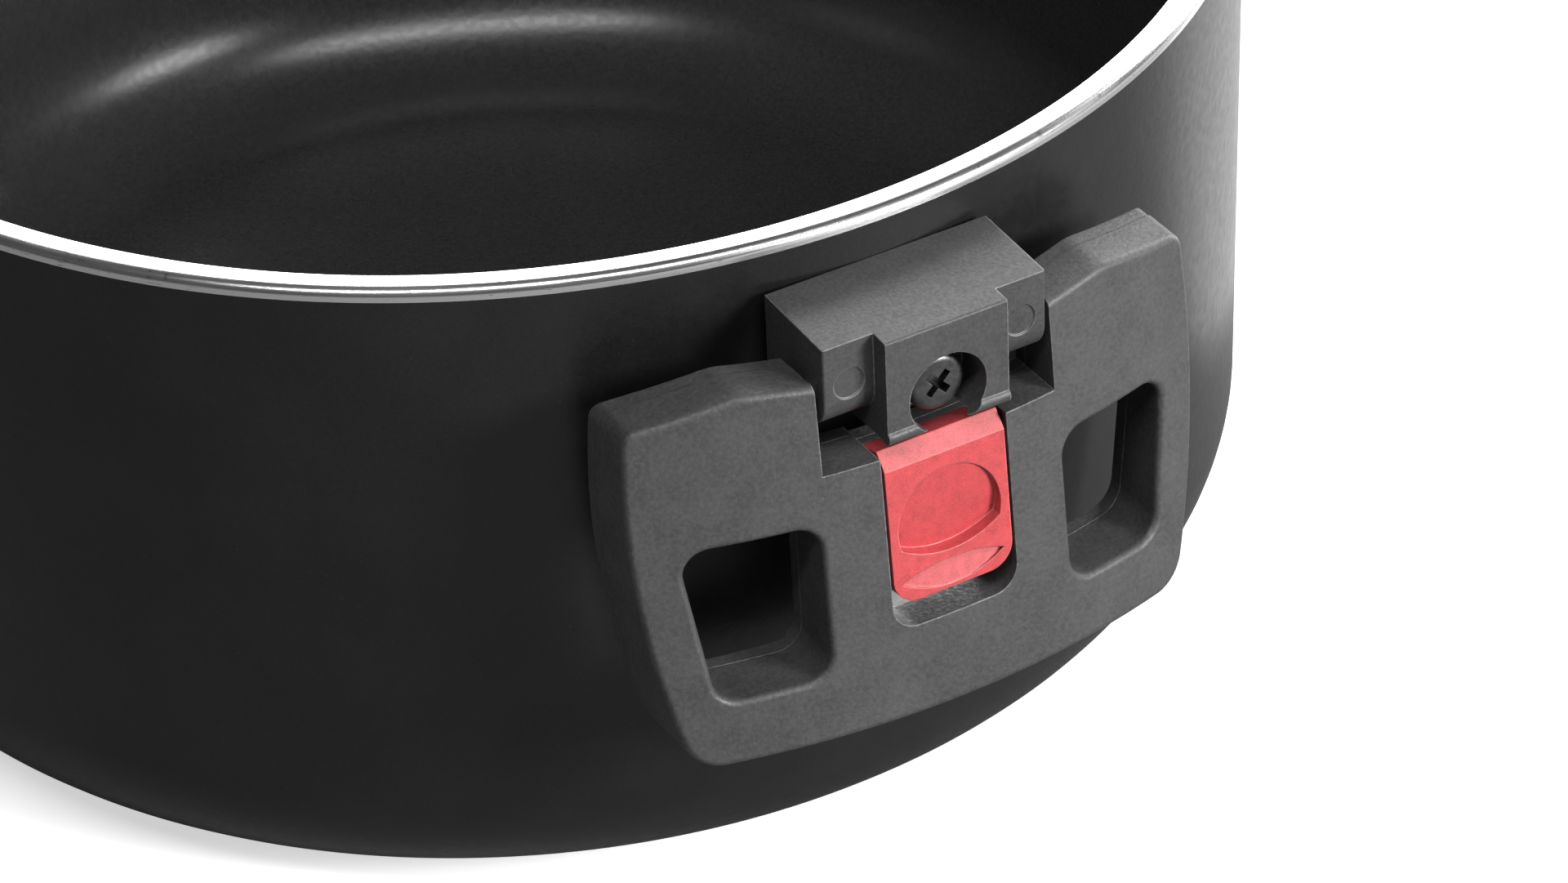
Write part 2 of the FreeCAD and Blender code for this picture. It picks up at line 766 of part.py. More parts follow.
def bore_for_pins(body):
    """Blind holes in the handle for the two hinge pins."""
    half = notch_half()
    for hand in (1, -1):
        sketch = new_sketch(body, "YZ_Plane", out=(half - size.notch_gap) * hand)
        circle(sketch, -size.hinge_reach, size.hinge_height, size.pin_radius + size.running_fit)
        depth = size.pin_end + size.pin_end_gap - half + size.notch_gap
        pocket(body, sketch, depth, reverse=hand > 0)


def bore_for_cover_screws(body, radius, start, length):
    """Round holes for the cover screws, from a reach outwards."""
    sketch = new_sketch(body, "XZ_Plane", out=start)
    for across, along in screw_spots():
        circle(sketch, across, along, radius)
    pocket(body, sketch, length, reverse=True)


def make_handle_shell(side, turn):
    """Front half of the handle: notch, windows, track and pin bores."""
    body = new_body(f"{side}_handle_shell", side_place(turn))
    low, high = size.plate_bottom - CUT, size.plate_top + CUT
    start_plate(body, 0)
    cut_inside(body, split_reach_at, low, high)
    cut_outside(body, face_reach_at, low, high)
    fillet(body, size.edge_round, outer_rim)
    fillet(body, size.window_edge, window_rim)
    cut_track(body)
    cut_steel_seat(body)
    bore_for_pins(body)
    hole = size.cover_shank_radius + size.cover_fit
    depth = size.cover_shank_length + size.cover_head_thickness + size.cover_tip_gap
    bore_for_cover_screws(body, hole, cover_back_at_screws(), depth)
    return body


def make_handle_back(side, turn):
    """Rear cover of the handle, with the boss that clamps the steel plate."""
    body = new_body(f"{side}_handle_back", side_place(turn))
    low, high = size.plate_bottom - CUT, size.plate_top + CUT
    start_plate(body, size.cover_inset)
    cut_outside(body, split_reach_at, low, high)
    boss = track_sketch(body, track_depth() + size.steel_thickness)
    half = size.steel_width / 2 - size.boss_gap
    rectangle(boss, -half, half, size.boss_gap - size.steel_bottom,
              -size.steel_top - size.boss_gap)
    pad(body, boss, size.boss_height, reverse=True)
    cut_inside(body, back_reach_at, low, high)
    back = cover_back_at_screws()
    bore_for_cover_screws(body, size.cover_head_radius + size.cover_head_fit, back - CUT / 4,
                          cover_head_seat() - back + CUT / 4)
    bore_for_cover_screws(body, size.cover_shank_radius + size.cover_fit, back, CUT / 2)
    return body


def make_cover_screws(side, turn):
    """Four small self-tapping screws that hold the rear cover, as one group."""
    pieces = []
    for number, (across, along) in enumerate(screw_spots(), 1):
        head = doc.addObject("Part::Cylinder", f"{side}_cover_head_{number}")
        bind(head, "Radius", size.cover_head_radius)
        bind(head, "Height", size.cover_head_thickness)
        shank = doc.addObject("Part::Cylinder", f"{side}_cover_shank_{number}")
        bind(shank, "Radius", size.cover_shank_radius)
        bind(shank, "Height", size.cover_shank_length + size.cover_head_thickness)
        lie = Rotation(Vector(1, 0, 0), 90)
        foot = cover_head_seat() - size.cover_head_thickness
        for piece in (head, shank):
            spot = Vector(across.value, -foot.value, along.value)
            piece.Placement = side_place(turn) * Placement(spot, lie)
        screw = doc.addObject("Part::Fuse", f"{side}_cover_screw_{number}")
        screw.Base = head
        screw.Tool = shank
        pieces.append(screw)
    group = doc.addObject("Part::Compound", f"{side}_cover_screws")
    group.Label = f"{side}_cover_screws"
    group.Links = pieces
    doc.recompute()
    return group


# ---------------------------------------------------------------- release slide

def scoop(body, half, near, side_drop, far, angle, deep_end_low):
    """A thumb recess: an outline of two arcs tipped into the face about its shallow end."""
    hinge = near - size.scoop_lip if deep_end_low else far + size.scoop_lip
    sketch = new_sketch(body, "XZ_Plane", out=-size.slide_sink, up=-hinge)
    rise = side_drop - near
    fall = far - side_drop
    upper = (half * half + rise * rise) / (rise * 2)
    lower = (half * half + fall * fall) / (fall * 2)
    arcs_meet = hinge - side_drop
    top = hinge - near
    bottom = hinge - far
    corners = [(half, arcs_meet), (0, top), (-half, arcs_meet), (0, bottom)]
    outline(sketch, corners, arcs={0: upper, 1: upper, 2: lower, 3: lower})
    spin(body, "Groove", sketch, angle=angle, axis="H_Axis", reverse=not deep_end_low)


def make_release_slide(side, turn):
    """Red thumb slide with its catch nose, flanges, recesses and spring slot."""
    body = new_body(f"{side}_release_slide", track_place(turn))
    front = size.slide_sink
    back = size.slide_sink + size.slide_thickness
    profile = new_sketch(body, "YZ_Plane")
    outline(profile, [
        (front, -size.bevel_drop), (size.ridge_depth, -size.ridge_drop),
        (back, -size.shoulder_drop), (back, -size.slide_drop), (front, -size.slide_drop),
    ][::-1])
    pad(body, profile, size.slide_width, both=True)

    def slide_corner(edge):
        return along_y(edge) and all(spot.z < CLOSE - size.slide_drop.value
                                     for spot in samples(edge))

    fillet(body, size.slide_round, slide_corner)
    scoop(body, size.scoop_half, size.scoop_top, size.scoop_side, size.scoop_low,
          size.scoop_angle, True)
    scoop(body, size.groove_half, size.groove_top, size.groove_side, size.groove_low,
          size.groove_angle, False)
    flange = new_sketch(body, "XZ_Plane", out=-back)
    half = size.flange_width / 2
    rectangle(flange, -half, half, -size.flange_bottom, -size.flange_top)
    pad(body, flange, size.flange_thickness)
    slot = new_sketch(body, "XZ_Plane", out=-back)
    half = size.slot_width / 2
    rectangle(slot, -half, half, -size.slide_drop - size.slide_travel, -size.slot_drop)
    pocket(body, slot, back - size.slot_depth, reverse=True)
    return body


def make_slide_plate(side, turn):
    """Steel plate that closes the track behind the slide, with the tab the spring stands on."""
    body = new_body(f"{side}_slide_plate", track_place(turn))
    depth = track_depth()
    sketch = new_sketch(body, "XZ_Plane", out=-depth)
    half = size.steel_width / 2
    rectangle(sketch, -half, half, -size.steel_bottom, -size.steel_top)
    pad(body, sketch, size.steel_thickness, reverse=True)
    tab = new_sketch(body, "XZ_Plane", out=-depth)
    half = size.tab_width / 2
    low = size.tab_drop + size.tab_thickness
    rectangle(tab, -half, half, -low, -size.tab_drop)
    pad(body, tab, size.tab_height)
    return body


def make_slide_spring(side, turn):
    """Compression spring in the slide's slot, standing on the plate's tab."""
    low = size.tab_drop - size.wire_radius - size.coil_gap
    high = size.slot_drop + size.wire_radius + size.coil_gap
    middle = (size.slide_sink + size.slide_thickness + size.slot_depth) / 2
    helix = doc.addObject("Part::Helix", f"{side}_coil_line")
    bind(helix, "Radius", size.coil_radius)
    bind(helix, "Height", low - high)
    bind(helix, "Pitch", (low - high) / size.coil_turns)
    wire = doc.addObject("Part::Circle", f"{side}_coil_wire")
    bind(wire, "Radius", size.wire_radius)
    wire.Placement = Placement(Vector(size.coil_radius.value, 0, 0), Rotation(Vector(1, 0, 0), 90))
    bind(wire, "Placement.Base.x", size.coil_radius)
    doc.recompute()
    spring = doc.addObject("Part::Sweep", f"{side}_slide_spring")
    spring.Label = f"{side}_slide_spring"
    spring.Sections = [wire]
    spring.Spine = (helix, [])
    spring.Solid = True
    spring.Frenet = True
    spring.Placement = track_place(turn) * Placement(
        Vector(0, middle.value, -low.value), Rotation())
    doc.recompute()
    return spring


# ---------------------------------------------------------------- build, test and write

def make_side(side, turn):
    """All the pieces of one side."""
    return [
        make_bracket(side, turn), make_stud(side, turn), make_bracket_screw(side, turn),
        make_washer(side, turn), make_pin(side, turn, -1, "left"),
        make_pin(side, turn, 1, "right"), make_handle_shell(side, turn),
        make_handle_back(side, turn), make_release_slide(side, turn),
        make_slide_plate(side, turn), make_slide_spring(side, turn),
        make_cover_screws(side, turn),
    ]


def faults(pieces):
    """What went wrong in the document, as lines of text."""
    found = []
    for item in doc.Objects:
        if "Invalid" in item.State or "Error" in item.State:
            found.append(f"{item.Label}: {item.State}")
    for piece in pieces:
        if piece.Shape.isNull() or not piece.Shape.isValid() or not piece.Shape.Solids:
            found.append(f"{piece.Label}: no valid solid")
    return found


def main():
    """Build every piece, stop if one failed, and write the files."""
    pieces = [make_pot_shell(), make_base_disc()]
    for side, turn in SIDES.items():
        pieces.extend(make_side(side, turn))
    doc.recompute()
    found = faults(pieces)
    if found:
        raise RuntimeError("; ".join(found))
    os.makedirs("parts", exist_ok=True)
    for piece in pieces:
        piece.Shape.exportStep(os.path.join("parts", f"{piece.Label}.step"))
        solids = len(piece.Shape.Solids)
        print(f"{piece.Label}: {solids} solid(s), {piece.Shape.Volume:.1f} mm3")


main()
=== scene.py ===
"""Cooking pot of a slow cooker: its turned body, its finishes, the studio and the camera.

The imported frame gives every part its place. The pot's body is turned here as three
pieces, a bare aluminium core and the black coatings outside and inside. The handles and
brackets keep the frame's shapes with smooth shading, and every piece gets its finish.
Lengths are metres, +Z is up, and the front handle is at -Y.
"""

import logging
import math
from dataclasses import dataclass, field
from enum import Enum
from typing import Callable, Iterable, Sequence

import bpy
from mathutils import Matrix, Vector


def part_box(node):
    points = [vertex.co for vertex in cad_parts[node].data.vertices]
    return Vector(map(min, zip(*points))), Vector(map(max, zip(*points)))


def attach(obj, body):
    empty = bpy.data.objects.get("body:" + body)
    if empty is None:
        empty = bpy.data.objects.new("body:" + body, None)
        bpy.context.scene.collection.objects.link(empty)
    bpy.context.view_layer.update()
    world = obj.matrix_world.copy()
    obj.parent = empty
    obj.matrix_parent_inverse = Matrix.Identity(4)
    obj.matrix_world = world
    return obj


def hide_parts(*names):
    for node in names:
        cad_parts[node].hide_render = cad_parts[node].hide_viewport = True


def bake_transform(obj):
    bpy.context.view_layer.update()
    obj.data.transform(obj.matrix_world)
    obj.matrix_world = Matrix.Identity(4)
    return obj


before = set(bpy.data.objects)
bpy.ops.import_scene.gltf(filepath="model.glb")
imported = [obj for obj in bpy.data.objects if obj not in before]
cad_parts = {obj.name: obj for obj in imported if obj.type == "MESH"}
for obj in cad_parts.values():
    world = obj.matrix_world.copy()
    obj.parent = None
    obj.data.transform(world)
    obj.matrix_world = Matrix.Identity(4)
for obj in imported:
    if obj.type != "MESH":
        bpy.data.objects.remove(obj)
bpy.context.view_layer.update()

log = logging.getLogger("pot")
MM = 0.001
Colour = tuple[float, float, float]


class Finish(Enum):
    """The finishes of the pot, each named as its material slot in the record."""

    ALUMINIUM = "pot_aluminium"
    OUTER_COAT = "outer_coat"
    INNER_COAT = "inner_coat"
    BASE_STEEL = "base_steel"
    BRACKET_PLASTIC = "bracket_plastic"
    HANDLE_PLASTIC = "handle_plastic"
    RED_PLASTIC = "red_plastic"
    PLATE_STEEL = "plate_steel"
    SPRING_STEEL = "spring_steel"
    SCREW_STEEL = "screw_steel"
    BARE_STEEL = "bare_steel"


# ---------------------------------------------------------------- shader graphs

class Graph:
    """Adds nodes to a node tree and joins them."""

    def __init__(self, tree: bpy.types.NodeTree) -> None:
        """Keep the tree that the nodes go in."""
        self.tree = tree

    def add(self, kind: str, props: dict | None = None, **sockets: object) -> bpy.types.Node:
        """Add a node.

        Args:
            kind: the node's type.
            props: its settings by name.
            sockets: inputs by name, with _ for a space, or by number as i0, i1.
                Each is a value or the socket that feeds it.

        Returns:
            The new node.
        """
        node = self.tree.nodes.new(kind)
        for name, value in (props or {}).items():
            setattr(node, name, value)
        for name, value in sockets.items():
            number = name[1:]
            key = int(number) if name[0] == "i" and number.isdigit() else name.replace("_", " ")
            if isinstance(value, bpy.types.NodeSocket):
                self.tree.links.new(value, node.inputs[key])
            else:
                node.inputs[key].default_value = value
        return node

    def math(self, operation: str, first: object, second: object = 0.0) -> bpy.types.NodeSocket:
        """One sum of two values."""
        node = self.add("ShaderNodeMath", {"operation": operation}, i0=first, i1=second)
        return node.outputs[0]

    def noise(self, where: bpy.types.NodeSocket, scale: float, detail: float = 2.0,
              roughness: float = 0.5) -> bpy.types.NodeSocket:
        """Noise from 0 to 1 over the surface."""
        node = self.add("ShaderNodeTexNoise", Vector=where, Scale=scale, Detail=detail,
                        Roughness=roughness)
        return node.outputs["Fac"]

    def span(self, value: object, low: float, high: float, out_low: float = 0.0,
             out_high: float = 1.0) -> bpy.types.NodeSocket:
        """Stretch the part of a value between low and high to another span."""
        node = self.add("ShaderNodeMapRange", {"clamp": True}, Value=value, From_Min=low,
                        From_Max=high, To_Min=out_low, To_Max=out_high)
        return node.outputs["Result"]

    def blend(self, share: object, first: object, second: object) -> bpy.types.NodeSocket:
        """Mix two colours."""
        node = self.add("ShaderNodeMix", {"data_type": "RGBA"}, i0=share, i6=first, i7=second)
        return node.outputs[2]

    def place(self) -> bpy.types.NodeSocket:
        """Object coordinates, in metres."""
        return self.add("ShaderNodeTexCoord").outputs["Object"]


@dataclass(frozen=True)
class Effect:
    """A shader group that several finishes share: its name and sockets, and how it is drawn."""

    name: str
    inputs: Sequence[tuple[str, str, float]]
    outputs: Sequence[tuple[str, str]]
    draw: Callable[[Graph, bpy.types.Node, bpy.types.Node], None]

    def tree(self) -> bpy.types.NodeTree:
        """The group's node tree, made the first time it is asked for."""
        made = bpy.data.node_groups.get(self.name)
        if made:
            return made
        tree = bpy.data.node_groups.new(self.name, "ShaderNodeTree")
        for name, kind, value in self.inputs:
            socket = tree.interface.new_socket(name, in_out="INPUT", socket_type=kind)
            if kind == "NodeSocketFloat":
                socket.default_value = value
        for name, kind in self.outputs:
            tree.interface.new_socket(name, in_out="OUTPUT", socket_type=kind)
        graph = Graph(tree)
        self.draw(graph, graph.add("NodeGroupInput"), graph.add("NodeGroupOutput"))
        return tree

    def use(self, graph: Graph, **sockets: object) -> bpy.types.Node:
        """Place the group in a material with its own values."""
        node = graph.add("ShaderNodeGroup", {"node_tree": self.tree()})
        for name, value in sockets.items():
            key = name.replace("_", " ")
            if isinstance(value, bpy.types.NodeSocket):
                graph.tree.links.new(value, node.inputs[key])
            else:
                node.inputs[key].default_value = value
        return node


def draw_grain(graph: Graph, given: bpy.types.Node, out: bpy.types.Node) -> None:
    """Moulded or sprayed grain: fine pits over a coarser mottle."""
    where = given.outputs["Place"]
    fine = graph.noise(where, 1.0, 3.0, 0.6)
    graph.tree.links.new(given.outputs["Fine"], fine.node.inputs["Scale"])
    coarse = graph.noise(where, 1.0, 2.0)
    graph.tree.links.new(given.outputs["Coarse"], coarse.node.inputs["Scale"])
    height = graph.math("ADD", graph.math("MULTIPLY", fine, 0.6),
                        graph.math("MULTIPLY", coarse, given.outputs["Coarse Share"]))
    graph.tree.links.new(height, out.inputs["Height"])
    graph.tree.links.new(graph.span(fine, 0.35, 0.65), out.inputs["Pits"])
    graph.tree.links.new(graph.span(coarse, 0.3, 0.7), out.inputs["Mottle"])


def draw_edges(graph: Graph, given: bpy.types.Node, out: bpy.types.Node) -> None:
    """Rounded edges, and a mask along them that is lightened later: partly rubbing, partly a
    painted highlight.
    """
    soft = graph.add("ShaderNodeBevel", {"samples": 6}, Radius=given.outputs["Round"])
    true = graph.add("ShaderNodeNewGeometry").outputs["Normal"]
    agree = graph.add("ShaderNodeVectorMath", {"operation": "DOT_PRODUCT"}, i0=soft.outputs[0],
                      i1=true).outputs["Value"]
    # along edges the bevelled normal parts from the true one; this mask paints a highlight there
    # as well as rubbing
    turned = graph.span(graph.math("SUBTRACT", 1.0, agree), 0.02, 0.22)
    patchy = graph.span(graph.noise(given.outputs["Place"], 700.0, 3.0), 0.35, 0.6, 0.35, 1.0)
    graph.tree.links.new(graph.math("MULTIPLY", turned, patchy), out.inputs["Rub And Glint"])
    graph.tree.links.new(soft.outputs[0], out.inputs["Normal"])


def draw_turning(graph: Graph, given: bpy.types.Node, out: bpy.types.Node) -> None:
    """Rings that a lathe leaves about the Z axis, and short scratches along them."""
    parts = graph.add("ShaderNodeSeparateXYZ", Vector=given.outputs["Place"])
    across, along, high = parts.outputs
    radius = graph.math("SQRT", graph.math("ADD", graph.math("MULTIPLY", across, across),
                                           graph.math("MULTIPLY", along, along)))
    angle = graph.math("ARCTAN2", along, across)
    track = graph.math("ADD", radius, high)
    lane = graph.math("MULTIPLY", track, given.outputs["Rings"])
    rings = graph.add("ShaderNodeCombineXYZ", X=lane, Y=graph.math("MULTIPLY", angle, 3.0))
    ring_noise = graph.noise(rings.outputs[0], 1.0, 3.0, 0.65)
    dashes = graph.add("ShaderNodeCombineXYZ", X=graph.math("MULTIPLY", lane, 0.55),
                       Y=graph.math("MULTIPLY", angle, 42.0), Z=5.0)
    dash_noise = graph.noise(dashes.outputs[0], 1.0, 3.0, 0.7)
    graph.tree.links.new(ring_noise, out.inputs["Height"])
    graph.tree.links.new(graph.span(dash_noise, 0.62, 0.72), out.inputs["Scratches"])


def draw_dust(graph: Graph, given: bpy.types.Node, out: bpy.types.Node) -> None:
    """Sparse light specks and a faint haze."""
    specks = graph.span(graph.noise(given.outputs["Place"], 1500.0, 1.0), 0.74, 0.8)
    haze = graph.span(graph.noise(given.outputs["Place"], 60.0, 4.0), 0.4, 0.8, 0.0, 0.35)
    graph.tree.links.new(graph.math("MULTIPLY", given.outputs["Amount"],
                                    graph.math("MAXIMUM", specks, haze)), out.inputs["Dust"])


FLOAT, VECTOR = "NodeSocketFloat", "NodeSocketVector"
GRAIN = Effect("grain", [("Place", VECTOR, 0), ("Fine", FLOAT, 3000), ("Coarse", FLOAT, 300),
                         ("Coarse Share", FLOAT, 0.5)],
               [("Height", FLOAT), ("Pits", FLOAT), ("Mottle", FLOAT)], draw_grain)
# edge mask: rubbing and a painted highlight along edges
EDGES = Effect("edge_rub_and_glint", [("Place", VECTOR, 0), ("Round", FLOAT, 0.0004)],
               [("Rub And Glint", FLOAT), ("Normal", VECTOR)], draw_edges)
TURNING = Effect("turning_marks", [("Place", VECTOR, 0), ("Rings", FLOAT, 4000)],
                 [("Height", FLOAT), ("Scratches", FLOAT)], draw_turning)
DUST = Effect("dust", [("Place", VECTOR, 0), ("Amount", FLOAT, 0.05)], [("Dust", FLOAT)],
              draw_dust)


# ---------------------------------------------------------------- finishes

PIT_SHADE = 0.55
MOTTLE_LIGHT = 1.5
MOTTLE_SHARE = 0.3
WORN_GLOSS = 0.18
PLASTIC_DUST = (0.45, 0.45, 0.46)
COAT_DUST = (0.4, 0.4, 0.41)


def rgba(colour: Colour) -> tuple[float, float, float, float]:
    """A colour with full alpha."""
    return (*colour, 1.0)


def start_material(name: str) -> tuple[bpy.types.Material, Graph, bpy.types.Node]:
    """A material with an empty Principled shader.

    Args:
        name: the material's name.

    Returns:
        The material, its graph and its shader node.
    """
    material = bpy.data.materials.new(name)
    material.use_nodes = True
    graph = Graph(material.node_tree)
    shader = next(n for n in material.node_tree.nodes if n.type == "BSDF_PRINCIPLED")
    return material, graph, shader


@dataclass(frozen=True)
class Moulded:
    """Moulded plastic: fine grain, edges lightened for rubbing and as a painted highlight, and a
    little dust.
    """

    colour: Colour
    rub_glint_colour: Colour
    roughness: float
    fine: float
    depth: float
    rub_glint_share: float
    edge: float = 0.35 * MM
    dust: float = 0.06
    specular: float = 0.5
    scatter: float = 0.0

    def build(self, name: str) -> bpy.types.Material:
        """Make the material."""
        material, graph, shader = start_material(name)
        where = graph.place()
        grain = GRAIN.use(graph, Place=where, Fine=self.fine, Coarse=self.fine * 0.12,
                          Coarse_Share=0.35)
        edges = EDGES.use(graph, Place=where, Round=self.edge)
        dust = DUST.use(graph, Place=where, Amount=self.dust)
        dark = tuple(part * PIT_SHADE for part in self.colour)
        tone = graph.blend(grain.outputs["Pits"], rgba(dark), rgba(self.colour))
        light = tuple(min(part * MOTTLE_LIGHT, 1.0) for part in self.colour)
        mottle = graph.math("MULTIPLY", grain.outputs["Mottle"], MOTTLE_SHARE)
        tone = graph.blend(mottle, tone, rgba(light))
        # edges are painted lighter: rubbed plastic, and a painted highlight standing in for edge
        # glints
        share = graph.math("MULTIPLY", edges.outputs["Rub And Glint"], self.rub_glint_share)
        tone = graph.blend(share, tone, rgba(self.rub_glint_colour))
        tone = graph.blend(dust.outputs["Dust"], tone, rgba(PLASTIC_DUST))
        graph.tree.links.new(tone, shader.inputs["Base Color"])
        rough = graph.span(grain.outputs["Pits"], 0.0, 1.0, self.roughness + 0.06,
                           self.roughness - 0.04)
        rough = graph.math("SUBTRACT", rough, graph.math("MULTIPLY", share, WORN_GLOSS))
        graph.tree.links.new(rough, shader.inputs["Roughness"])
        bump = graph.add("ShaderNodeBump", Strength=1.0, Distance=self.depth,
                         Height=grain.outputs["Height"], Normal=edges.outputs["Normal"])
        graph.tree.links.new(bump.outputs[0], shader.inputs["Normal"])
        shader.inputs["Specular IOR Level"].default_value = self.specular
        if self.scatter:
            shader.inputs["Subsurface Weight"].default_value = self.scatter
            shader.inputs["Subsurface Scale"].default_value = 0.6 * MM
        return material


@dataclass(frozen=True)
class Coated:
    """Sprayed and baked coating on metal: satin, with fine grain and a slight orange peel."""

    colour: Colour
    fleck: Colour
    roughness: float
    fine: float
    peel: float
    depth: float
    specular: float = 0.5
    dust: float = 0.03

    def build(self, name: str) -> bpy.types.Material:
        """Make the material."""
        material, graph, shader = start_material(name)
        where = graph.place()
        grain = GRAIN.use(graph, Place=where, Fine=self.fine, Coarse=self.peel,
                          Coarse_Share=1.6)
        dust = DUST.use(graph, Place=where, Amount=self.dust)
        pits = graph.math("MULTIPLY", grain.outputs["Pits"], 0.5)
        tone = graph.blend(pits, rgba(self.colour), rgba(self.fleck))
        tone = graph.blend(dust.outputs["Dust"], tone, rgba(COAT_DUST))
        graph.tree.links.new(tone, shader.inputs["Base Color"])
        rough = graph.span(grain.outputs["Mottle"], 0.0, 1.0, self.roughness - 0.03,
                           self.roughness + 0.04)
        graph.tree.links.new(rough, shader.inputs["Roughness"])
        bump = graph.add("ShaderNodeBump", Strength=1.0, Distance=self.depth,
                         Height=grain.outputs["Height"])
        graph.tree.links.new(bump.outputs[0], shader.inputs["Normal"])
        shader.inputs["Specular IOR Level"].default_value = self.specular
        return material


@dataclass(frozen=True)
class Turned:
    """Metal turned on a lathe: rings about the pot's axis and dark scratches along them."""

    colour: Colour
    scratch: Colour
    roughness: float
    rings: float
    depth: float
    scratches: float

    def build(self, name: str) -> bpy.types.Material:
        """Make the material."""
        material, graph, shader = start_material(name)
        where = graph.place()
        marks = TURNING.use(graph, Place=where, Rings=self.rings)
        share = graph.math("MULTIPLY", marks.outputs["Scratches"], self.scratches)
        tone = graph.blend(share, rgba(self.colour), rgba(self.scratch))
        graph.tree.links.new(tone, shader.inputs["Base Color"])
        rough = graph.span(marks.outputs["Height"], 0.3, 0.7, self.roughness - 0.05,
                           self.roughness + 0.08)
        graph.tree.links.new(rough, shader.inputs["Roughness"])
        bump = graph.add("ShaderNodeBump", Strength=1.0, Distance=self.depth,
                         Height=marks.outputs["Height"])
        graph.tree.links.new(bump.outputs[0], shader.inputs["Normal"])
        shader.inputs["Metallic"].default_value = 1.0
        return material


@dataclass(frozen=True)
class Rolled:
    """Rolled or drawn steel: fine lines one way, edges lightened for rubbing and as a painted
    highlight, and cloudy patches.
    """

    colour: Colour
    dark: Colour
    roughness: float
    lines: Colour = (300.0, 300.0, 6000.0)
    depth: float = 0.002 * MM
    edge: float = 0.15 * MM

    def build(self, name: str) -> bpy.types.Material:
        """Make the material."""
        material, graph, shader = start_material(name)
        where = graph.place()
        drawn = graph.add("ShaderNodeVectorMath", {"operation": "MULTIPLY"}, i0=where,
                          i1=self.lines).outputs[0]
        line = graph.noise(drawn, 1.0, 3.0)
        cloud = graph.noise(where, 400.0, 4.0)
        edges = EDGES.use(graph, Place=where, Round=self.edge)
        tone = graph.blend(graph.span(cloud, 0.35, 0.65), rgba(self.dark), rgba(self.colour))
        # edges are painted lighter: rubbed steel, and a painted highlight standing in for edge
        # glints
        rub_glint_tone = tuple(min(part * 1.5 + 0.05, 1.0) for part in self.colour)
        tone = graph.blend(graph.math("MULTIPLY", edges.outputs["Rub And Glint"], 0.6), tone, rgba(rub_glint_tone))
        graph.tree.links.new(tone, shader.inputs["Base Color"])
        rough = graph.span(line, 0.3, 0.7, self.roughness - 0.08, self.roughness + 0.1)
        graph.tree.links.new(rough, shader.inputs["Roughness"])
        bump = graph.add("ShaderNodeBump", Strength=1.0, Distance=self.depth, Height=line,
                         Normal=edges.outputs["Normal"])
        graph.tree.links.new(bump.outputs[0], shader.inputs["Normal"])
        shader.inputs["Metallic"].default_value = 1.0
        return material


@dataclass
class FinishRack:
    """All the finishes by name; each material is made once."""

    recipes: dict = field(default_factory=lambda: {
        Finish.ALUMINIUM: Turned((0.9, 0.9, 0.91), (0.12, 0.12, 0.12), 0.22, 5200.0,
                                 0.006 * MM, 0.85),
        Finish.OUTER_COAT: Coated((0.006, 0.006, 0.006), (0.012, 0.012, 0.012), 0.34, 2200.0,
                                  620.0, 0.02 * MM, 0.45),
        Finish.INNER_COAT: Coated((0.024, 0.024, 0.024), (0.06, 0.06, 0.06), 0.27, 1800.0,
                                  700.0, 0.014 * MM, 0.5),
        Finish.BASE_STEEL: Turned((0.56, 0.56, 0.57), (0.25, 0.25, 0.25), 0.34, 1400.0,
                                  0.006 * MM, 0.4),
        # Each moulded finish's second colour lightens its edges: rubbing and a painted highlight.
        Finish.BRACKET_PLASTIC: Moulded((0.052, 0.052, 0.052), (0.4, 0.4, 0.4), 0.48, 1700.0,
                                        0.12 * MM, 0.7),
        Finish.HANDLE_PLASTIC: Moulded((0.056, 0.056, 0.056), (0.4, 0.4, 0.4), 0.5, 1400.0,
                                       0.15 * MM, 0.65),
        Finish.RED_PLASTIC: Moulded((0.52, 0.06, 0.066), (0.85, 0.36, 0.36), 0.46, 5200.0,
                                    0.004 * MM, 0.6, 0.3 * MM, 0.02, 0.5, 0.12),
        Finish.PLATE_STEEL: Rolled((0.6, 0.6, 0.6), (0.42, 0.42, 0.43), 0.32),
        Finish.SPRING_STEEL: Rolled((0.62, 0.62, 0.64), (0.45, 0.45, 0.46), 0.2,
                                    (2500.0, 2500.0, 2500.0), 0.001 * MM, 0.05 * MM),
        Finish.SCREW_STEEL: Rolled((0.14, 0.14, 0.145), (0.07, 0.07, 0.072), 0.4,
                                   (2500.0, 2500.0, 2500.0), 0.004 * MM, 0.2 * MM),
        Finish.BARE_STEEL: Rolled((0.55, 0.55, 0.56), (0.4, 0.4, 0.41), 0.3,
                                  (2500.0, 2500.0, 2500.0), 0.002 * MM, 0.1 * MM),
    })
    made: dict = field(default_factory=dict)

    def get(self, finish: Finish) -> bpy.types.Material:
        """The material of a finish."""
        if finish not in self.made:
            self.made[finish] = self.recipes[finish].build(finish.value)
        return self.made[finish]

    def dress(self, piece: bpy.types.Object, finish: Finish, body: str | None) -> None:
        """Give a new piece the material of its finish and the body it rides on.

        Args:
            piece: the new piece.
            finish: its finish.
            body: the body it rides on, or None to leave it on no body.
        """
        piece.data.materials.clear()
        piece.data.materials.append(self.get(finish))
        if body:
            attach(piece, body)
        log.info("%s: %d faces, %s, rides on %s", piece.name, len(piece.data.polygons),
                 finish.value, body or "two bodies")


# ---------------------------------------------------------------- modelling by operators

def only(piece: bpy.types.Object) -> None:
    """Select this object alone and make it the active one."""
    bpy.ops.object.select_all(action="DESELECT")
    piece.select_set(True)
    bpy.context.view_layer.objects.active = piece


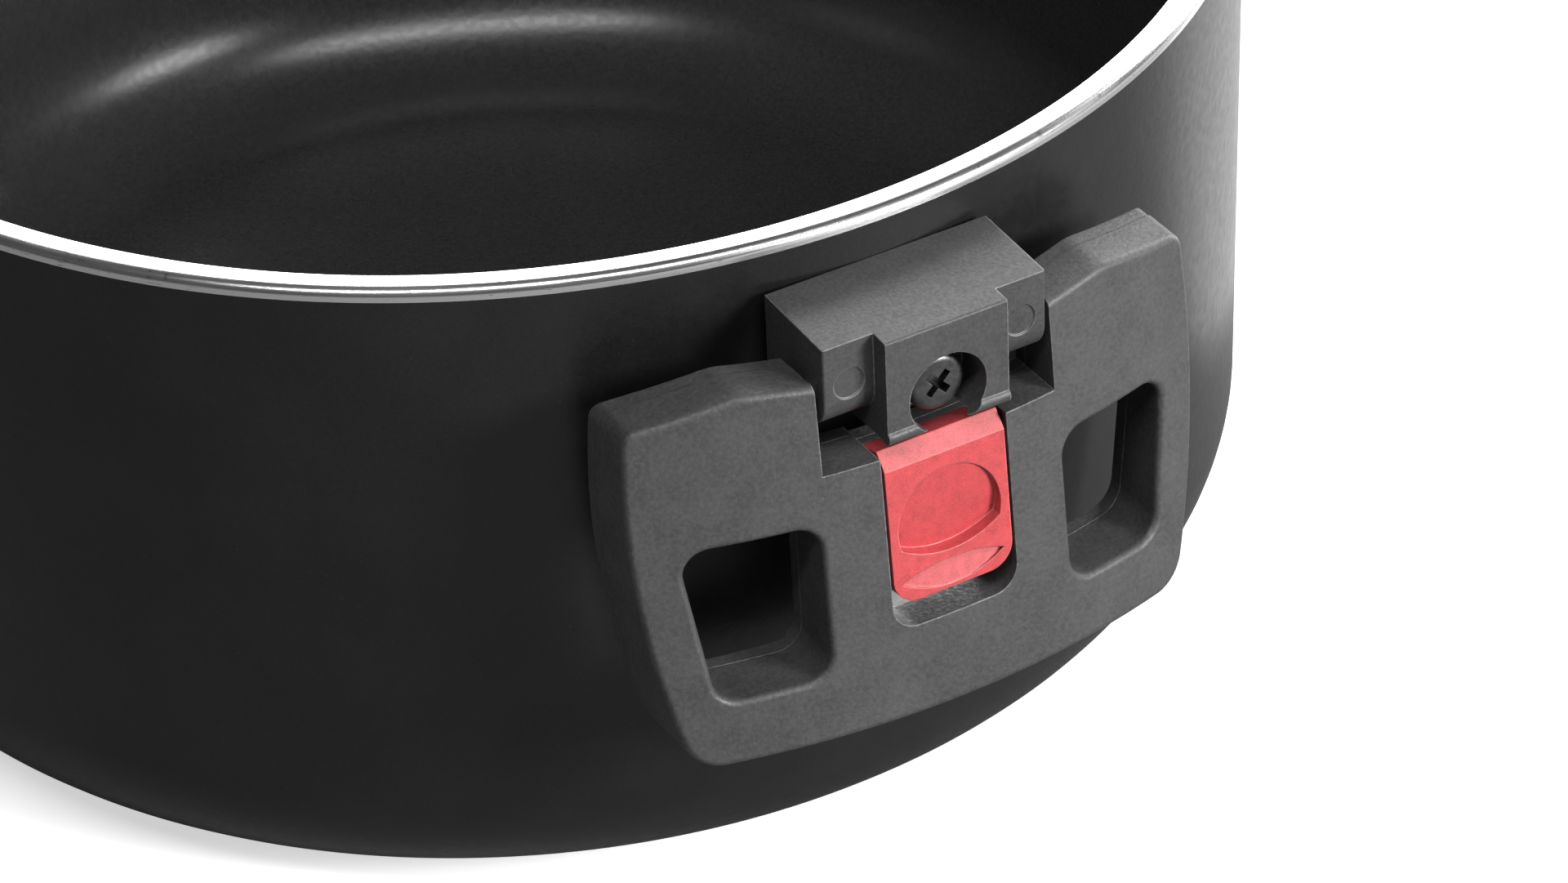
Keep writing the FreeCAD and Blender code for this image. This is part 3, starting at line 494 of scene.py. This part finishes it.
def edit(piece: bpy.types.Object, mode: str = "VERT") -> None:
    """Go into edit mode on one piece with nothing selected."""
    only(piece)
    bpy.ops.object.mode_set(mode="EDIT")
    bpy.ops.mesh.select_mode(type=mode)
    bpy.ops.mesh.select_all(action="DESELECT")


def apply_modifier(piece: bpy.types.Object, kind: str, **settings: object) -> None:
    """Add a modifier to a piece and apply it."""
    only(piece)
    modifier = piece.modifiers.new(kind.lower(), kind)
    for name, value in settings.items():
        setattr(modifier, name, value)
    bpy.ops.object.modifier_apply(modifier=modifier.name)


def smooth(piece: bpy.types.Object, angle: float = 32.0) -> None:
    """Shade a piece smooth, with edges sharper than the angle kept, by the area of its faces."""
    only(piece)
    bpy.ops.object.shade_smooth_by_angle(angle=math.radians(angle))
    apply_modifier(piece, "WEIGHTED_NORMAL", mode="FACE_AREA_WITH_ANGLE", weight=60,
                   keep_sharp=True)


def rounded(corners: Sequence[tuple[float, float, float]], step: float = 5.0) -> list[Vector]:
    """Points of an open line in the XZ plane, with rounded corners.

    Args:
        corners: reach, height and rounding radius of each corner.
        step: largest turn between two points of an arc, in degrees.

    Returns:
        The points in order.
    """
    spots = [Vector((reach, 0.0, height)) for reach, height, _ in corners]
    points = [spots[0]]
    for before, spot, after, corner in zip(spots, spots[1:], spots[2:], corners[1:]):
        radius = corner[2]
        if radius <= 0.0:
            points.append(spot)
            continue
        back, on = (before - spot).normalized(), (after - spot).normalized()
        half = back.angle(on) / 2
        centre = spot + (back + on).normalized() * (radius / math.sin(half))
        start = spot + back * (radius / math.tan(half))
        sweep = math.pi - 2 * half
        count = max(2, math.ceil(sweep / math.radians(step)))
        axis = (start - centre).cross(spot - centre).normalized()
        for index in range(count + 1):
            turn = Matrix.Rotation(sweep * index / count, 3, axis)
            points.append(centre + turn @ (start - centre))
    points.append(spots[-1])
    return points


def turned(name: str, points: Iterable[Vector], steps: int) -> bpy.types.Object:
    """Turn a closed profile about the Z axis.

    Args:
        name: the new object's name.
        points: the profile in the XZ plane; it starts and ends on the axis or is closed.
        steps: how many sides the turned piece has.

    Returns:
        The turned object, with its place in its mesh.
    """
    points = list(points)
    bpy.ops.object.select_all(action="DESELECT")
    bpy.ops.mesh.primitive_plane_add(size=MM, location=points[0])
    piece = bpy.context.active_object
    piece.name = piece.data.name = name
    edit(piece)
    bpy.ops.mesh.select_all(action="SELECT")
    bpy.ops.mesh.merge(type="CENTER")
    for here, there in zip(points, points[1:]):
        bpy.ops.mesh.extrude_region_move(TRANSFORM_OT_translate={"value": there - here})
    bpy.ops.mesh.select_all(action="SELECT")
    bpy.ops.mesh.spin(steps=steps, angle=math.tau, center=(0.0, 0.0, 0.0),
                      axis=(0.0, 0.0, 1.0))
    bpy.ops.mesh.select_all(action="SELECT")
    bpy.ops.mesh.remove_doubles(threshold=0.002 * MM)
    bpy.ops.mesh.normals_make_consistent(inside=False)
    bpy.ops.object.mode_set(mode="OBJECT")
    only(piece)
    bpy.ops.object.transform_apply(location=True, rotation=True, scale=True)
    return piece


def smooth_copy(node: str, name: str) -> bpy.types.Object:
    """A copy of one of the frame's pieces, welded and shaded smooth, that stands for it.

    Args:
        node: the frame's piece.
        name: the copy's name.

    Returns:
        The copy, which replaces the frame's piece.
    """
    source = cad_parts[node]
    piece = bpy.data.objects.new(name, source.data.copy())
    bpy.context.scene.collection.objects.link(piece)
    edit(piece)
    bpy.ops.mesh.select_all(action="SELECT")
    bpy.ops.mesh.remove_doubles(threshold=0.0005 * MM)
    bpy.ops.object.mode_set(mode="OBJECT")
    only(piece)
    if piece.data.has_custom_normals:
        bpy.ops.mesh.customdata_custom_splitnormals_clear()
    smooth(piece)
    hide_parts(node)
    return piece


# ---------------------------------------------------------------- the pot's body

@dataclass
class PotBody:
    """The turned pot: a bare aluminium core with a coating outside and one inside."""

    rack: FinishRack
    wall: float = 4.1 * MM
    foot_radius: float = 118.6 * MM
    foot_lift: float = 0.5 * MM
    outer_round: float = 23.6 * MM
    floor_height: float = 14.0 * MM
    inner_round: float = 24.0 * MM
    rim_round: float = 1.45 * MM
    rim_break: float = 0.25 * MM
    recess_radius: float = 88.1 * MM
    recess_height: float = 3.0 * MM
    coat: float = 0.07 * MM
    coat_end: float = 0.35 * MM
    bare_band: float = 2.0 * MM
    steps: int = 288

    def __post_init__(self) -> None:
        """Read the rim's size from the frame."""
        _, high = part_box("pot_shell")
        self.rim_radius = high.x
        self.height = high.z

    def outer_reach(self, height: float) -> float:
        """Radius of the outer wall at a height."""
        top = self.height - self.rim_round
        share = (height - self.foot_lift) / (top - self.foot_lift)
        return self.foot_radius + (self.rim_radius - self.foot_radius) * share

    def inner_reach(self, height: float) -> float:
        """Radius of the inner wall at a height."""
        low = self.outer_reach(self.floor_height) - self.wall
        high = self.rim_radius - self.wall
        share = (height - self.floor_height) / (self.height - self.floor_height)
        return low + (high - low) * share

    def core(self) -> bpy.types.Object:
        """The aluminium body, seen only at the rim's bare band."""
        skin = self.coat
        band = self.height - self.bare_band
        lip = self.height - self.coat_end
        corners = [
            (0.0, self.recess_height, 0.0), (self.recess_radius, self.recess_height, 0.0),
            (self.recess_radius, self.foot_lift + skin, 0.0),
            (self.foot_radius - skin, self.foot_lift + skin, self.outer_round - skin),
            (self.outer_reach(band) - skin, band, 0.0), (self.outer_reach(band), band, 0.0),
            (self.rim_radius, self.height, self.rim_round),
            (self.inner_reach(lip), self.height, self.rim_break),
            (self.inner_reach(lip), lip, 0.0), (self.inner_reach(lip) + skin, lip, 0.0),
            (self.inner_reach(self.floor_height) + skin, self.floor_height - skin,
             self.inner_round + skin),
            (0.0, self.floor_height - skin, 0.0),
        ]
        return turned("pot_core", rounded(corners), self.steps)

    def outer_coat(self) -> bpy.types.Object:
        """The black coating from the base recess up to the bare rim."""
        skin = self.coat
        band = self.height - self.bare_band
        corners = [
            (self.recess_radius, self.foot_lift, 0.0),
            (self.foot_radius, self.foot_lift, self.outer_round),
            (self.outer_reach(band), band, 0.0), (self.outer_reach(band) - skin, band, 0.0),
            (self.foot_radius - skin, self.foot_lift + skin, self.outer_round - skin),
            (self.recess_radius, self.foot_lift + skin, 0.0),
            (self.recess_radius, self.foot_lift, 0.0),
        ]
        return turned("pot_outer_coat", rounded(corners), self.steps)

    def inner_coat(self) -> bpy.types.Object:
        """The non-stick coating from the floor up to the rim's inner edge."""
        skin = self.coat
        lip = self.height - self.coat_end
        low = self.inner_reach(self.floor_height)
        corners = [
            (0.0, self.floor_height - skin, 0.0),
            (low + skin, self.floor_height - skin, self.inner_round + skin),
            (self.inner_reach(lip) + skin, lip, 0.0), (self.inner_reach(lip), lip, 0.0),
            (low, self.floor_height, self.inner_round), (0.0, self.floor_height, 0.0),
        ]
        return turned("pot_inner_coat", rounded(corners, 3.0), self.steps)

    def build(self) -> None:
        """Make the three pieces and dress them, and the base disc."""
        pieces = ((self.core(), Finish.ALUMINIUM), (self.outer_coat(), Finish.OUTER_COAT),
                  (self.inner_coat(), Finish.INNER_COAT))
        for piece, finish in pieces:
            smooth(piece, 25.0)
            self.rack.dress(piece, finish, "pot")
        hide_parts("pot_shell")
        disc = smooth_copy("base_disc", "pot_base_disc")
        self.rack.dress(disc, Finish.BASE_STEEL, "pot")


# ---------------------------------------------------------------- one side's handle

@dataclass
class SideHandle:
    """The bracket, fold-out handle and release slide of one side."""

    side: str
    rack: FinishRack
    recess_turn: float = 45.0

    def turn_screw(self, piece: bpy.types.Object) -> None:
        """Turn the bracket screw about its own axis, so that its recess stands as an X."""
        low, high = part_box(f"{self.side}_bracket_screw")
        edit(piece)
        bpy.ops.mesh.select_all(action="SELECT")
        bpy.ops.transform.rotate(value=math.radians(self.recess_turn), orient_axis="Y",
                                 orient_type="GLOBAL", center_override=(low + high) / 2)
        bpy.ops.object.mode_set(mode="OBJECT")

    def stretch_spring(self, piece: bpy.types.Object) -> None:
        """Bake the spring's placement into its mesh."""
        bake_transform(piece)

    def carried(self) -> dict[str, tuple[Finish, str]]:
        """Each of the side's pieces with its finish and the body it rides on."""
        pot, handle, slide = "pot", f"{self.side}_handle", f"{self.side}_slide"
        return {
            "bracket": (Finish.BRACKET_PLASTIC, pot),
            "weld_stud": (Finish.BARE_STEEL, pot),
            "bracket_screw": (Finish.SCREW_STEEL, pot),
            "lock_washer": (Finish.BARE_STEEL, pot),
            "hinge_pin_left": (Finish.BARE_STEEL, pot),
            "hinge_pin_right": (Finish.BARE_STEEL, pot),
            "handle_shell": (Finish.HANDLE_PLASTIC, handle),
            "handle_back": (Finish.HANDLE_PLASTIC, handle),
            "slide_plate": (Finish.PLATE_STEEL, handle),
            "slide_spring": (Finish.SPRING_STEEL, handle),
            "cover_screws": (Finish.SCREW_STEEL, handle),
            "release_slide": (Finish.RED_PLASTIC, slide),
        }

    def build(self) -> None:
        """Weld, smooth and dress every piece of the side."""
        for part, (finish, body) in self.carried().items():
            node = f"{self.side}_{part}"
            piece = smooth_copy(node, f"{node}_finished")
            if part == "bracket_screw":
                self.turn_screw(piece)
            spring = part == "slide_spring"
            self.rack.dress(piece, finish, None if spring else body)
            if spring:
                self.stretch_spring(piece)


# ---------------------------------------------------------------- studio and camera

@dataclass(frozen=True)
class Lamp:
    """A rectangular soft light.

    Its bearing is in degrees to the right of the camera, seen from the pot, and its
    distance is level, from the pot's axis. Its power is in watts. With sheen_only it
    shows only in glossy reflections, and with upward it lies flat and faces up, and not
    towards the pot.
    """

    name: str
    bearing: float
    distance: float
    height: float
    size: tuple[float, float]
    power: float
    sheen_only: bool = False
    upward: bool = False


WHITE = (1.0, 1.0, 1.0)
UP = Vector((0.0, 0.0, 1.0))
FLOOR_DARK = (0.86, 0.86, 0.86)
FLOOR_LIGHT = (0.9, 0.9, 0.9)
FLOOR_REFLECTED = (0.22, 0.22, 0.22)
LAMPS = (
    Lamp("key_light", 56.0, 1.3, 0.5, (0.4, 0.4), 25.0),
    Lamp("top_light", 4.0, 0.85, 1.3, (1.3, 0.12), 13.0),
    Lamp("floor_card", 140.0, 0.42, 0.005, (0.5, 0.5), 0.9, sheen_only=True, upward=True),
    Lamp("back_panel", 180.0, 1.5, 1.1, (2.6, 0.9), 40.0, sheen_only=True),
    Lamp("rim_panel", 128.0, 1.1, 0.35, (0.7, 0.9), 16.0),
)


@dataclass
class Studio:
    """A pale floor, soft lights and the camera."""

    focal: float = 129.17
    sensor: float = 36.0
    stand_off: float = 771.584 * MM
    eye_height: float = 535.965 * MM
    turn: float = 26.07
    pitch: float = 34.681
    yaw: float = 3.3259
    roll: float = -2.6316
    floor_size: float = 12.0
    glow: float = 0.6
    room_strength: float = 0.06
    aim_height: float = 60.0 * MM
    near_clip: float = 0.01
    far_clip: float = 50.0

    def heading(self, degrees_right: float) -> Vector:
        """Level direction this far to the right of the way from the pot to the camera."""
        angle = math.radians(self.turn - degrees_right)
        return Vector((-math.sin(angle), -math.cos(angle), 0.0))

    def camera(self) -> None:
        """Set the camera where the eye is."""
        angle = math.radians(self.turn)
        eye = Vector((-math.sin(angle), -math.cos(angle), 0.0)) * self.stand_off
        eye.z = self.eye_height
        head, tip = math.radians(self.turn + self.yaw), math.radians(self.pitch)
        ahead = Vector((math.sin(head) * math.cos(tip), math.cos(head) * math.cos(tip),
                        -math.sin(tip)))
        right = Vector((math.cos(head), -math.sin(head), 0.0))
        lean = Matrix.Rotation(math.radians(self.roll), 3, -ahead)
        right = lean @ right
        above = right.cross(ahead)
        data = bpy.data.cameras.new("camera")
        data.lens = self.focal
        data.sensor_width = self.sensor
        data.clip_start, data.clip_end = self.near_clip, self.far_clip
        holder = bpy.data.objects.new("camera", data)
        turn = Matrix((right, above, -ahead)).transposed().to_4x4()
        holder.matrix_world = Matrix.Translation(eye) @ turn
        bpy.context.scene.collection.objects.link(holder)
        bpy.context.scene.camera = holder

    def floor(self) -> None:
        """A wide pale floor, white to the eye and dim in what the pot reflects."""
        bpy.ops.object.select_all(action="DESELECT")
        bpy.ops.mesh.primitive_plane_add(size=self.floor_size, location=(0.0, 0.0, 0.0))
        floor = bpy.context.active_object
        floor.name = "studio_floor"
        material, graph, shader = start_material("pale_floor")
        tone = graph.blend(graph.noise(graph.place(), 40.0, 3.0), rgba(FLOOR_DARK),
                           rgba(FLOOR_LIGHT))
        seen = graph.add("ShaderNodeLightPath").outputs["Is Camera Ray"]
        tone = graph.blend(seen, rgba(FLOOR_REFLECTED), tone)
        graph.tree.links.new(tone, shader.inputs["Base Color"])
        shader.inputs["Emission Color"].default_value = rgba(WHITE)
        graph.tree.links.new(graph.math("MULTIPLY", seen, self.glow),
                             shader.inputs["Emission Strength"])
        shader.inputs["Roughness"].default_value = 0.8
        floor.data.materials.append(material)

    def lamp(self, light: Lamp) -> None:
        """Add one light.

        Args:
            light: what it is and where it stands.
        """
        data = bpy.data.lights.new(light.name, "AREA")
        data.shape = "RECTANGLE"
        data.size, data.size_y = light.size
        data.energy = light.power
        holder = bpy.data.objects.new(light.name, data)
        holder.visible_diffuse = not light.sheen_only
        holder.visible_camera = False
        spot = self.heading(light.bearing) * light.distance
        spot.z = light.height
        aim = UP if light.upward else Vector((0.0, 0.0, self.aim_height)) - spot
        turn = aim.to_track_quat("-Z", "Y").to_matrix().to_4x4()
        holder.matrix_world = Matrix.Translation(spot) @ turn
        bpy.context.scene.collection.objects.link(holder)

    def lights(self) -> None:
        """The soft lights and the dim room round them."""
        for light in LAMPS:
            self.lamp(light)
        world = bpy.data.worlds.new("room")
        world.use_nodes = True
        back = next(n for n in world.node_tree.nodes if n.type == "BACKGROUND")
        back.inputs["Color"].default_value = rgba(WHITE)
        back.inputs["Strength"].default_value = self.room_strength
        bpy.context.scene.world = world

    def build(self) -> None:
        """Set up the studio."""
        self.floor()
        self.lights()
        self.camera()
        view = bpy.context.scene.view_settings
        view.view_transform = "Standard"
        view.look = "None"


def main() -> None:
    """Build the pot, its two handles and the studio."""
    logging.basicConfig(level=logging.INFO, format="%(name)s %(message)s")
    rack = FinishRack()
    PotBody(rack).build()
    for side in ("front", "rear"):
        SideHandle(side, rack).build()
    Studio().build()


if __name__ == "__main__":
    main()
